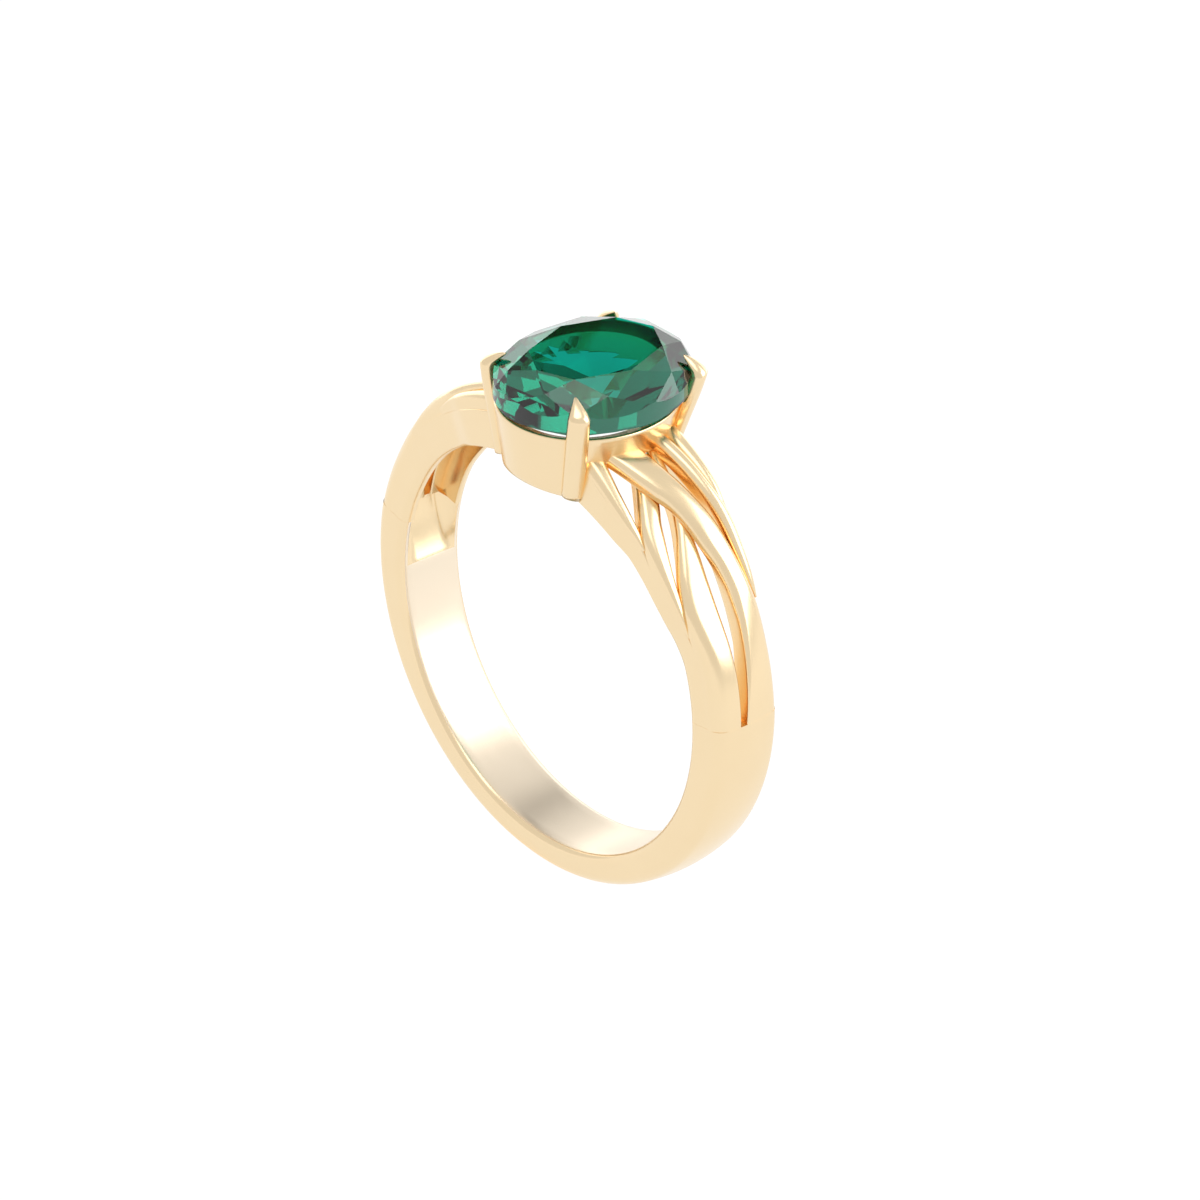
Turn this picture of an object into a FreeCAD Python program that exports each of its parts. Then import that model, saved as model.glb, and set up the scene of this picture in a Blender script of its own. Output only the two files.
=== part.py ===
import FreeCAD, Part
import math
import os
import Sketcher

# Gold cocktail ring with an oval green stone. Millimetres, +Z up towards the stone.
# The origin is the centre of the finger hole and Y is the finger axis.
# Angles round the ring are degrees from +X, so 90 is the top, under the stone.

doc = FreeCAD.newDocument("CocktailRing")

driving = {
    "boreRadius": 8.3,
    "bandWidth": 3.0,
    "outerRadius": 10.05,
    "outerRise": 0.4,
    "crownDrop": 0.2,
    "outerCorner": 0.37,
    "boreCorner": 0.3,
    "shankEnd": 10.0,
    "scoopEnd": -4.0,
    "scoopDepth": 1.0,
    "scoopWidth": 2.1,
    "railThick": 0.45,
    "cupRimX": 3.15,
    "cupRimY": 3.75,
    "cupFootX": 2.66,
    "cupFootY": 3.1,
    "cupRimHeight": 10.85,
    "cupFootHeight": 7.6,
    "cupWall": 0.32,
    "windowWidth": 3.1,
    "windowTop": 9.62,
    "clawWidth": 0.84,
    "clawThick": 0.64,
    "clawFootX": 1.93,
    "clawFootY": 2.27,
    "clawGirdleX": 2.52,
    "clawGirdleY": 2.94,
    "clawTipX": 1.95,
    "clawTipY": 2.66,
    "clawTurn": 36.7,
    "clawTop": 12.52,
    "headShiftX": 0.09,
    "headShiftY": 0.09,
    "stoneX": 3.2,
    "stoneY": 4.0,
    "girdleTop": 11.86,
    "girdleThick": 0.4,
    "crownHeight": 0.91,
    "pavilionDepth": 2.45,
    "tableShare": 0.66,
    "starShare": 0.862,
    "starRise": 0.633,
    "kneeShare": 0.8,
    "kneeHeight": 10.72,
}

sheet = doc.addObject("Spreadsheet::Sheet", "Dimensions")
for row, (alias, value) in enumerate(driving.items(), start=1):
    sheet.set(f"A{row}", alias)
    sheet.set(f"B{row}", str(value))
    sheet.setAlias(f"B{row}", alias)
doc.recompute()


def size(alias):
    return float(getattr(sheet, alias))


def bind(thing, bindings):
    for path, text in bindings.items():
        thing.setExpression(path, text)


def ringPoint(angle, y, radius):
    turn = math.radians(angle)
    return FreeCAD.Vector(radius * math.cos(turn), y, radius * math.sin(turn))


# ---- shank: the plain band, a revolved D section with the finger hole and the top cut away


def originPlane(body, role):
    return next(feature for feature in body.Origin.OriginFeatures if feature.Role == role)


def sketchOn(body, name, role):
    sketch = body.newObject("Sketcher::SketchObject", name)
    sketch.AttachmentSupport = (originPlane(body, role), [""])
    sketch.MapMode = "FlatFace"
    return sketch


def pin(sketch, edge, x, y):
    """Fixes the start of an edge at two expressions."""
    for kind, text in (("DistanceX", x), ("DistanceY", y)):
        number = sketch.addConstraint(Sketcher.Constraint(kind, -1, 1, edge, 1, 1.0))
        sketch.setExpression(f"Constraints[{number}]", text)


def outline(sketch, corners):
    """A closed polygon whose corners are given as a starting value and an expression."""
    first = sketch.GeometryCount
    points = [FreeCAD.Vector(u, v, 0) for u, v, _, _ in corners]
    for here, there in zip(points, points[1:] + points[:1]):
        sketch.addGeometry(Part.LineSegment(here, there))
    for k in range(len(points)):
        following = first + (k + 1) % len(points)
        sketch.addConstraint(Sketcher.Constraint("Coincident", first + k, 2, following, 1))
    for k, (_, _, x, y) in enumerate(corners):
        pin(sketch, first + k, x, y)


def polar(angle, radius, angleText, radiusText):
    """A corner at a polar position, as numbers and as expressions."""
    turn = math.radians(angle)
    x = f"({radiusText}) * cos(({angleText}) * 1deg)"
    y = f"({radiusText}) * sin(({angleText}) * 1deg)"
    return radius * math.cos(turn), radius * math.sin(turn), x, y


def roundRims(body, base, name, radius, alias):
    """Rounds the full circles of one radius, a rim on each side of the band."""
    rims = []
    for number, edge in enumerate(base.Shape.Edges, start=1):
        if isinstance(edge.Curve, Part.Circle) and abs(edge.Curve.Radius - radius) < 0.01:
            rims.append(f"Edge{number}")
    feature = body.newObject("PartDesign::Fillet", name)
    feature.Base = (base, rims)
    bind(feature, {"Radius": f"Dimensions.{alias}"})
    doc.recompute()
    return feature


def makeShank():
    body = doc.addObject("PartDesign::Body", "shank")
    half = size("bandWidth") / 2
    shoulder = size("outerRadius") - size("crownDrop")
    crown = size("outerRadius")

    section = sketchOn(body, "shankSection", "YZ_Plane")
    bind(section, {"AttachmentOffset.Base.y": "Dimensions.outerRise"})
    inner = 7.0
    section.addGeometry(Part.LineSegment(FreeCAD.Vector(half, inner, 0), FreeCAD.Vector(half, shoulder, 0)))
    dome = Part.Arc(
        FreeCAD.Vector(half, shoulder, 0), FreeCAD.Vector(0, crown, 0), FreeCAD.Vector(-half, shoulder, 0)
    )
    section.addGeometry(dome)
    section.addGeometry(Part.LineSegment(FreeCAD.Vector(-half, shoulder, 0), FreeCAD.Vector(-half, inner, 0)))
    section.addGeometry(Part.LineSegment(FreeCAD.Vector(-half, inner, 0), FreeCAD.Vector(half, inner, 0)))
    section.addConstraint(Sketcher.Constraint("Coincident", 0, 2, 1, 1))
    section.addConstraint(Sketcher.Constraint("Coincident", 1, 2, 2, 1))
    section.addConstraint(Sketcher.Constraint("Coincident", 2, 2, 3, 1))
    section.addConstraint(Sketcher.Constraint("Coincident", 3, 2, 0, 1))
    halfText = "Dimensions.bandWidth / 2"
    pin(section, 0, halfText, f"{inner}")
    pin(section, 2, f"-{halfText}", "Dimensions.outerRadius - Dimensions.crownDrop")
    pin(section, 3, f"-{halfText}", f"{inner}")
    section.addConstraint(Sketcher.Constraint("Vertical", 0))
    section.addConstraint(Sketcher.Constraint("Horizontal", 0, 2, 2, 1))
    doc.recompute()
    number = section.addConstraint(Sketcher.Constraint("Radius", 1, 5.7))
    drop = "Dimensions.crownDrop"
    section.setExpression(f"Constraints[{number}]", f"(({halfText})^2 + {drop}^2) / (2 * {drop})")

    blank = body.newObject("PartDesign::Revolution", "shankBlank")
    blank.Profile = section
    blank.ReferenceAxis = (section, ["H_Axis"])
    blank.Angle = 360.0
    doc.recompute()

    hole = sketchOn(body, "fingerHole", "XZ_Plane")
    hole.addGeometry(Part.Circle(FreeCAD.Vector(0, 0, 0), FreeCAD.Vector(0, 0, 1), size("boreRadius")))
    hole.addConstraint(Sketcher.Constraint("Coincident", 0, 3, -1, 1))
    hole.addConstraint(Sketcher.Constraint("Radius", 0, size("boreRadius")))
    hole.setExpression("Constraints[1]", "Dimensions.boreRadius")
    bore = body.newObject("PartDesign::Pocket", "fingerBore")
    bore.Profile = hole
    bore.Midplane = True
    bore.Length = 20.0
    doc.recompute()

    rounded = roundRims(body, bore, "outerCorners", shoulder, "outerCorner")
    comfort = roundRims(body, rounded, "boreCorners", size("boreRadius"), "boreCorner")

    gap = sketchOn(body, "headGap", "XZ_Plane")
    reach = 16.0
    end = size("shankEnd")
    right = polar(end, reach, "Dimensions.shankEnd", f"{reach}")
    left = polar(180 - end, reach, "180 - Dimensions.shankEnd", f"{reach}")
    outline(gap, [(0, 0, "0", "0"), right, (reach, reach, f"{reach}", f"{reach}"),
                  (-reach, reach, f"-{reach}", f"{reach}"), left])
    opened = body.newObject("PartDesign::Pocket", "headOpening")
    opened.Profile = gap
    opened.Midplane = True
    opened.Length = 20.0
    doc.recompute()

    scoops = sketchOn(body, "scoopOutline", "XZ_Plane")
    low = size("boreRadius") - 0.3
    deep = size("boreRadius") + size("scoopDepth")
    for mirrored in (False, True):
        turned = (lambda angle: 180 - angle) if mirrored else (lambda angle: angle)
        before = "180 - " if mirrored else ""
        past = f"{before}(Dimensions.shankEnd + 1)"
        outline(scoops, [
            polar(turned(size("scoopEnd")), low, f"{before}(Dimensions.scoopEnd)", "Dimensions.boreRadius - 0.3"),
            polar(turned(end + 1), low, past, "Dimensions.boreRadius - 0.3"),
            polar(turned(end + 1), deep, past, "Dimensions.boreRadius + Dimensions.scoopDepth"),
        ])
    scooped = body.newObject("PartDesign::Pocket", "scoops")
    scooped.Profile = scoops
    scooped.Midplane = True
    bind(scooped, {"Length": "Dimensions.scoopWidth"})
    doc.recompute()
    volumes = [feature.Shape.Volume for feature in (blank, bore, rounded, comfort, opened, scooped)]
    if any(after >= before for before, after in zip(volumes, volumes[1:])):
        raise RuntimeError(f"a cut in the shank removed nothing: {volumes}")
    return body



# ---- claws, cup and stone from sheet-bound primitives


def ellipse(name, major, minor, x, y, z, turn="0"):
    """A level ellipse whose longer axis lies along +X before it is turned."""
    curve = doc.addObject("Part::Ellipse", name)
    bind(curve, {
        "MajorRadius": major,
        "MinorRadius": minor,
        "Placement.Base.x": x,
        "Placement.Base.y": y,
        "Placement.Base.z": z,
        "Placement.Rotation.Angle": turn,
    })
    return curve


def loft(name, sections, ruled=False):
    solid = doc.addObject("Part::Loft", name)
    solid.Sections = sections
    solid.Solid = True
    solid.Ruled = ruled
    return solid


def cut(name, base, tool):
    result = doc.addObject("Part::Cut", name)
    result.Base = base
    result.Tool = tool
    return result


def fingerCylinder():
    """The space of the finger, along Y."""
    cylinder = doc.addObject("Part::Cylinder", "fingerSpace")
    bind(cylinder, {"Radius": "Dimensions.boreRadius", "Height": "30"})
    cylinder.Placement = FreeCAD.Placement(
        FreeCAD.Vector(0, 15, 0), FreeCAD.Rotation(FreeCAD.Vector(1, 0, 0), 90)
    )
    return cylinder


def cupCone(name, inset, low, high):
    """The cup's oval taper, set in from its outer face, between two heights."""
    d = "Dimensions."
    rise = f"({d}cupRimHeight - {d}cupFootHeight)"
    ellipses = []
    for place, z in (("Low", low), ("High", high)):
        share = f"(({z}) - {d}cupFootHeight) / {rise}"
        x = f"{d}cupFootX + ({d}cupRimX - {d}cupFootX) * {share} - {inset}"
        y = f"{d}cupFootY + ({d}cupRimY - {d}cupFootY) * {share} - {inset}"
        ellipses.append(ellipse(name + place, y, x, "0", "0", z, "90"))
    return loft(name, ellipses, ruled=True)


def makeClaw(label, signX, signY, finger):
    """A tapering oval bar up the side of the cup whose tip leans over the stone."""
    d = "Dimensions."
    foot, girdle, top = f"{d}cupFootHeight", f"{d}girdleTop", f"{d}clawTop"
    stations = (
        # height, share of the way from foot to girdle and from girdle to tip, width share, thickness share
        (foot, 0.0, 0.0, 1.0, 1.0),
        (f"({foot} + {girdle}) / 2", 0.5, 0.0, 1.0, 1.0),
        (f"{girdle} + 0.04", 1.0, 0.0, 0.96, 0.96),
        (f"{girdle} + ({top} - {girdle}) * 0.5", 1.0, 0.36, 0.78, 0.86),
        (f"{girdle} + ({top} - {girdle}) * 0.84", 1.0, 0.72, 0.52, 0.56),
        (top, 1.0, 0.92, 0.16, 0.16),
    )
    sections = []
    for k, (z, along, lean, wide, thick) in enumerate(stations):
        centre = []
        for axis, sign in (("X", signX), ("Y", signY)):
            text = f"{d}clawFoot{axis} + ({d}clawGirdle{axis} - {d}clawFoot{axis}) * {along}"
            text += f" + ({d}clawTip{axis} - {d}clawGirdle{axis}) * {lean}"
            centre.append(f"{sign} * ({text}) + {d}headShift{axis} * {along}")
        facing = f"{signX * signY} * {d}clawTurn + 90"
        sections.append(ellipse(
            f"{label}_{k}", f"{d}clawWidth / 2 * {wide}", f"{d}clawThick / 2 * {thick}",
            centre[0], centre[1], z, facing,
        ))
    return cut(f"{label}_bar", loft(f"{label}_loft", sections, ruled=True), finger)

# ---- stone: an oval brilliant, its facets cut from an oval blank one plane at a time


def halfSpace(a, b, c, inside):
    """A block whose face lies on three points, on the side away from a fourth."""
    normal = (b - a).cross(c - a)
    normal.normalize()
    if normal.dot(inside - a) > 0:
        normal = normal * -1
    width = 30.0
    block = Part.makeBox(width, width, width, FreeCAD.Vector(-width / 2, -width / 2, 0))
    block.Placement = FreeCAD.Placement(a, FreeCAD.Rotation(FreeCAD.Vector(0, 0, 1), normal))
    return block


def makeStone():
    rx, ry = size("stoneX"), size("stoneY")
    top = size("girdleTop")
    base = top - size("girdleThick")
    table = top + size("crownHeight")
    culet = base - size("pavilionDepth")
    star = top + size("crownHeight") * size("starRise")
    knee = size("kneeHeight")

    def stonePoint(angle, share, z):
        turn = math.radians(angle)
        return FreeCAD.Vector(rx * share * math.cos(turn), ry * share * math.sin(turn), z)

    oval = Part.Ellipse(FreeCAD.Vector(0, 0, culet), ry, rx).toShape()
    oval.rotate(FreeCAD.Vector(0, 0, culet), FreeCAD.Vector(0, 0, 1), 90)
    blank = Part.Face(Part.Wire(oval)).extrude(FreeCAD.Vector(0, 0, table - culet))
    middle = FreeCAD.Vector(0, 0, (top + base) / 2)
    step = 22.5
    planes = []
    for k in range(8):
        main = k * 2 * step
        planes.append((
            stonePoint(main, 1.0, top),
            stonePoint(main, size("tableShare"), table),
            stonePoint(main, 1.0, top) + FreeCAD.Vector(-ry * math.sin(math.radians(main)) * rx / ry,
                                                        ry * math.cos(math.radians(main)), 0),
        ))
        planes.append((
            stonePoint(main + step, size("starShare"), star),
            stonePoint(main, size("tableShare"), table),
            stonePoint(main + 2 * step, size("tableShare"), table),
        ))
        across = FreeCAD.Vector(-rx * math.sin(math.radians(main)), ry * math.cos(math.radians(main)), 0)
        planes.append((
            stonePoint(main, 1.0, base),
            stonePoint(main, size("kneeShare"), knee),
            stonePoint(main, 1.0, base) + across,
        ))
        planes.append((
            stonePoint(main, size("kneeShare"), knee),
            stonePoint(0, 0, culet),
            stonePoint(main, size("kneeShare"), knee) + across,
        ))
        for side in (-1, 1):
            planes.append((
                stonePoint(main + side * step, size("starShare"), star),
                stonePoint(main + side * step, 1.0, top),
                stonePoint(main, 1.0, top),
            ))
            planes.append((
                stonePoint(main + side * step, size("kneeShare") + 0.01, knee),
                stonePoint(main + side * step, 1.0, base),
                stonePoint(main, 1.0, base),
            ))
    stone = blank
    for corners in planes:
        stone = stone.cut(halfSpace(*corners, middle))
    stone.translate(FreeCAD.Vector(size("headShiftX"), size("headShiftY"), 0))
    return stone.Solids[0]


# ---- shoulders: side rails standing on the finger hole and strands laid over them


# angle, half the width over the rail, height of its top edge as a radius
lowRail = (
    (10, 1.5, 9.33), (18, 1.5, 9.33), (25, 1.51, 9.32), (31, 1.6, 9.28), (37, 1.78, 9.16), (43, 1.87, 9.08),
    (49, 1.89, 9.16), (54, 1.91, 9.3), (60, 2.06, 9.54), (67, 2.15, 9.82), (75, 2.22, 10.16), (84, 2.3, 10.5),
)
tallRail = (
    (10, 1.5, 9.33), (18, 1.5, 9.36), (25, 1.5, 9.4), (31, 1.52, 9.47), (37, 1.58, 9.54), (43, 1.66, 9.6),
    (50, 1.72, 9.68), (57, 1.84, 9.8), (63, 2.04, 10.22), (69, 2.12, 10.38), (75, 2.18, 10.44), (84, 2.3, 10.5),
)

# angle, near edge, far edge, crown as a radius, underside as a radius
crossStrand = (
    (10, -0.24, 1.49, 10.1, 9.33),
    (15, -0.13, 1.49, 10.13, 9.37),
    (20, -0.02, 1.49, 10.15, 9.39),
    (26, 0.12, 1.48, 10.17, 9.44),
    (32, 0.21, 1.46, 10.2, 9.52),
    (38, 0.22, 1.33, 10.28, 9.6),
    (44, 0.14, 1.16, 10.34, 9.76),
    (50, -0.06, 1.04, 10.38, 9.88),
    (56, -0.22, 0.9, 10.42, 9.9),
    (62, -0.58, 0.64, 10.45, 9.89),
    (68, -1.04, 0.38, 10.47, 9.88),
    (75, -1.45, 0.06, 10.48, 9.86),
    (84, -1.9, -0.4, 10.5, 9.86),
)
edgeStrand = (
    (36, 1.43, 1.49, 9.92, 9.6),
    (40, 1.22, 1.57, 10.12, 9.62),
    (46, 1.12, 1.61, 10.29, 9.66),
    (53, 1.08, 1.66, 10.46, 9.72),
    (60, 0.96, 1.5, 10.57, 9.82),
    (68, 0.8, 1.36, 10.6, 9.92),
    (76, 0.62, 1.22, 10.6, 9.98),
    (84, 0.45, 1.05, 10.6, 10.0),
)
middleStrand = (
    (10, -1.49, -0.52, 10.08, 9.33),
    (15, -1.49, -0.48, 10.1, 9.35),
    (20, -1.49, -0.43, 10.1, 9.35),
    (26, -1.5, -0.38, 10.06, 9.34),
    (32, -1.52, -0.32, 9.99, 9.33),
    (38, -1.5, -0.24, 9.93, 9.33),
    (44, -1.36, -0.12, 9.9, 9.4),
    (50, -0.94, 0.02, 9.89, 9.4),
    (56, -0.44, 0.24, 9.9, 9.28),
    (62, -0.04, 0.5, 9.93, 9.24),
    (68, 0.2, 0.74, 9.98, 9.32),
    (75, 0.5, 1.0, 10.04, 9.4),
    (84, 0.8, 1.3, 10.1, 9.5),
)
shortStrand = (
    (33, -1.56, -1.46, 9.32, 9.1),
    (38, -1.72, -1.46, 9.5, 9.1),
    (44, -1.84, -1.4, 9.62, 9.08),
    (50, -1.86, -1.2, 9.7, 9.06),
    (56, -1.76, -0.9, 9.79, 9.12),
    (62, -1.38, -0.44, 9.87, 9.18),
    (68, -0.86, 0.0, 9.94, 9.24),
    (75, -0.3, 0.44, 10.03, 9.4),
    (84, 0.3, 0.9, 10.1, 9.5),
)


def section(angle, near, far, crown, under):
    """A bar's section: flat underside, upright sides and an arched top."""
    shoulder = under + 0.55 * (crown - under)
    corners = [ringPoint(angle, y, r) for y, r in
               ((near, under), (far, under), (far, shoulder), (near, shoulder))]
    arch = Part.Arc(corners[2], ringPoint(angle, (near + far) / 2, crown), corners[3]).toShape()
    edges = [
        Part.LineSegment(corners[0], corners[1]).toShape(),
        Part.LineSegment(corners[1], corners[2]).toShape(),
        arch,
        Part.LineSegment(corners[3], corners[0]).toShape(),
    ]
    return Part.Wire(edges)


def strand(table):
    return Part.makeLoft([section(*row) for row in table], True, False)


def rail(table, side):
    """An upright wall from inside the finger hole's edge up to its top edge."""
    start = 7.6
    thick = size("railThick")
    sections = []
    for angle, spread, high in table:
        outside, inside = side * spread, side * (spread - thick)
        ring = [ringPoint(angle, y, r) for y, r in
                ((outside, start), (inside, start), (inside, high), (outside, high))]
        sections.append(Part.makePolygon(ring + ring[:1]))
    return Part.makeLoft(sections, True, False)


# ---- assembly: every piece is trimmed against what it is soldered to


def feature(label, shape):
    piece = doc.addObject("Part::Feature", label)
    piece.Shape = shape
    return piece


pieces = [makeShank()]
finger = fingerCylinder()
stone = feature("stone", makeStone())
pieces.append(stone)

cone = cupCone("cupOuter", "0", "Dimensions.cupFootHeight", "Dimensions.cupRimHeight")
well = cupCone(
    "cupInner", "Dimensions.cupWall", "Dimensions.cupFootHeight - 0.2", "Dimensions.cupRimHeight + 0.2"
)
windows = doc.addObject("Part::Box", "cupWindows")
bind(windows, {
    "Length": "12",
    "Width": "Dimensions.windowWidth",
    "Height": "Dimensions.windowTop - 6",
    "Placement.Base.x": "-6",
    "Placement.Base.y": "-Dimensions.windowWidth / 2",
    "Placement.Base.z": "6",
})
cup = cut("cupOpened", cut("cupTrimmed", cut("cupShell", cone, well), finger), windows)

clawCorners = {"right_front": (1, -1), "right_back": (1, 1), "left_back": (-1, 1), "left_front": (-1, -1)}
bars = [makeClaw(f"claw_{corner}", *signs, finger) for corner, signs in clawCorners.items()]
for corner, bar in zip(clawCorners, bars):
    claw = cut(f"claw_{corner}", bar, stone)
    pieces.append(claw)
clawBars = doc.addObject("Part::MultiFuse", "clawBars")
clawBars.Shapes = bars + [stone]
cup = cut("stone_cup", cup, clawBars)
pieces.append(cup)
doc.recompute()

trimmers = [finger.Shape, cone.Shape] + [bar.Shape for bar in bars]
shoulderPieces = {
    "low_rail": rail(lowRail, -1),
    "tall_rail": rail(tallRail, 1),
    "cross_strand": strand(crossStrand),
    "edge_strand": strand(edgeStrand),
    "middle_strand": strand(middleStrand),
    "short_strand": strand(shortStrand),
}
for name, blank in shoulderPieces.items():
    trimmed = blank
    for trimmer in trimmers:
        if trimmed.BoundBox.intersect(trimmer.BoundBox):
            trimmed = max(trimmed.cut(trimmer).Solids, key=lambda solid: solid.Volume)
    trimmers.append(trimmed)
    other = trimmed.rotated(FreeCAD.Vector(0, 0, 0), FreeCAD.Vector(0, 0, 1), 180)
    for bar in bars:
        if other.BoundBox.intersect(bar.Shape.BoundBox):
            other = max(other.cut(bar.Shape).Solids, key=lambda solid: solid.Volume)
    pieces.append(feature(f"right_{name}", trimmed))
    pieces.append(feature(f"left_{name}", other))

doc.recompute()

for thing in doc.Objects:
    if "Invalid" in thing.State or "Error" in thing.State:
        raise RuntimeError(f"{thing.Label}: {thing.State}")

os.makedirs("parts", exist_ok=True)
for piece in pieces:
    shape = piece.Shape
    if shape.isNull() or not shape.isValid() or len(shape.Solids) != 1:
        raise RuntimeError(f"{piece.Label}: not one valid solid")
    shape.exportStep(f"parts/{piece.Label}.step")
    print(f"{piece.Label}: {shape.Volume:.3f} mm3")
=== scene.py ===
import bmesh
import bpy
import math
import numpy as np
from mathutils import Matrix, Vector


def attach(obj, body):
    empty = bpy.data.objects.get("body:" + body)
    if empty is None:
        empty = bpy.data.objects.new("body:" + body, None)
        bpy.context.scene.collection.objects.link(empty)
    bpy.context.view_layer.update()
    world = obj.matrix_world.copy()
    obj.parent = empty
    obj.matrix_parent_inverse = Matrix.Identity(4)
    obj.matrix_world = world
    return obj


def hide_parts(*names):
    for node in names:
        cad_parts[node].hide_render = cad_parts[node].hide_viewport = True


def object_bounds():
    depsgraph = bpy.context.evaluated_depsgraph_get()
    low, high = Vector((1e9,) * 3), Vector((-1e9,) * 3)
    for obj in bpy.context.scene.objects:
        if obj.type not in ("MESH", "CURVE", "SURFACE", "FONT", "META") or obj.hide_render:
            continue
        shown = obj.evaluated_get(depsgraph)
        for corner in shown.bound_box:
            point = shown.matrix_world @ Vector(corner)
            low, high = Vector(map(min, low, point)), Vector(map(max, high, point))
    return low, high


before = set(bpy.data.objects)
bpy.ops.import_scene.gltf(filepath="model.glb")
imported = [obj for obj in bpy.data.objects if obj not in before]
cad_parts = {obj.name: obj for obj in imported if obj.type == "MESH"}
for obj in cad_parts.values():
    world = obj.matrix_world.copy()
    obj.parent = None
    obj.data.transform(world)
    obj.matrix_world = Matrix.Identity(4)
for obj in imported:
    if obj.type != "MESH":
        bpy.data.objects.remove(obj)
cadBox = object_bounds()
mm = 0.001

# Shapes below are in millimetres. Angles go round the ring in degrees from +X, so 90 is under the stone.


def ringPoint(angle, y, radius):
    turn = math.radians(angle)
    return Vector((radius * math.cos(turn), y, radius * math.sin(turn))) * mm


def smoothRows(rows, angles):
    # a curve through every column of a table, with slopes that never overshoot
    table = np.array(rows, float)
    x = table[:, 0]
    gaps = np.diff(x)[:, None]
    rise = np.diff(table, axis=0) / gaps
    slopes = np.zeros_like(table)
    for k in range(1, len(x) - 1):
        before, after = rise[k - 1], rise[k]
        same = before * after > 0
        safe = np.where(same, before + after, 1.0)
        slopes[k] = np.where(same, 2 * before * after / safe, 0.0)
    slopes[0], slopes[-1] = rise[0], rise[-1]
    result = []
    for angle in angles:
        k = min(max(int(np.searchsorted(x, angle)) - 1, 0), len(x) - 2)
        width = x[k + 1] - x[k]
        s = (angle - x[k]) / width
        row = ((2 * s**3 - 3 * s**2 + 1) * table[k] + (s**3 - 2 * s**2 + s) * width * slopes[k]
               + (3 * s**2 - 2 * s**3) * table[k + 1] + (s**3 - s**2) * width * slopes[k + 1])
        result.append(row)
    return result


def addObject(name, bm):
    mesh = bpy.data.meshes.new(name)
    bm.to_mesh(mesh)
    bm.free()
    piece = bpy.data.objects.new(name, mesh)
    bpy.context.scene.collection.objects.link(piece)
    return piece


def meshFromLoops(name, loops, closed=False):
    bm = bmesh.new()
    rings = [[bm.verts.new(p) for p in loop] for loop in loops]
    count = len(rings[0])
    pairs = list(zip(rings, rings[1:]))
    if closed:
        pairs.append((rings[-1], rings[0]))
    for low, high in pairs:
        for k in range(count):
            bm.faces.new((low[k], low[(k + 1) % count], high[(k + 1) % count], high[k]))
    for face in bm.faces:
        face.smooth = True
    if not closed:
        for ring in (rings[0][::-1], rings[-1]):
            cap = bm.faces.new(ring)
            for edge in cap.edges:
                edge.smooth = False
    bmesh.ops.recalc_face_normals(bm, faces=bm.faces)
    return addObject(name, bm)


def halfTurned(piece, name):
    # the other shoulder is the same shape turned half round the upright axis
    mesh = piece.data.copy()
    for vertex in mesh.vertices:
        vertex.co.x = -vertex.co.x
        vertex.co.y = -vertex.co.y
    other = bpy.data.objects.new(name, mesh)
    bpy.context.scene.collection.objects.link(other)
    return other


# ends are where the shank meets the shoulders; the scoops are the hollows under them
band = {
    "bore": 8.3, "halfWidth": 1.5, "outerRadius": 10.05, "outerRise": 0.4,
    "dome": 0.2, "outerCorner": 0.37, "boreCorner": 0.3, "end": 10.0,
    "scoopStart": -5.0, "scoopDepth": 1.03, "scoopHalf": 1.05, "scoopSide": 0.12, "boreSkin": 0.02,
    "stations": 220,
}
barSteps = {"foot": 4, "side": 4, "corner": 8, "top": 12, "under": 8, "stations": 72}
softFoot = 0.06


def barSide(edge, inward, under, rounding, foot, top):
    # one side of a section, from its rounded foot up to where the top begins
    points = []
    for k in range(barSteps["foot"] + 1):
        a = math.pi / 2 * k / barSteps["foot"]
        points.append((edge + inward * foot * (1 - math.sin(a)), under + foot * (1 - math.cos(a))))
    low, high = under + foot, top(edge) - rounding
    for k in range(1, barSteps["side"]):
        points.append((edge, low + (high - low) * k / barSteps["side"]))
    for k in range(barSteps["corner"] + 1):
        a = math.pi / 2 * k / barSteps["corner"]
        y = edge + inward * rounding * (1 - math.cos(a))
        points.append((y, top(y) - rounding * (1 - math.sin(a))))
    return points


def barLoop(near, far, crown, under, roundNear, roundFar, peak, arch, foot=softFoot, footFar=None):
    # one closed section as (y, radius) pairs: up the near side, over the arched top and down the far side
    footFar = foot if footFar is None else footFar

    def top(y):
        return crown - arch * ((y - peak) / band["halfWidth"]) ** 2

    points = barSide(near, 1, under, roundNear, foot, top)
    low, high = near + roundNear, far - roundFar
    for k in range(1, barSteps["top"]):
        y = low + (high - low) * k / barSteps["top"]
        points.append((y, top(y)))
    points += barSide(far, -1, under, roundFar, footFar, top)[::-1]
    low, high = near + foot, far - footFar
    for k in range(1, barSteps["under"]):
        points.append((high + (low - high) * k / barSteps["under"], under))
    return points


def outerRadius(angle):
    turn = math.radians(angle)
    level = math.sqrt(band["outerRadius"] ** 2 - (band["outerRise"] * math.cos(turn)) ** 2)
    return level + band["outerRise"] * math.sin(turn)


def onBore(radius):
    return radius < band["bore"] + band["boreSkin"]


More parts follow.
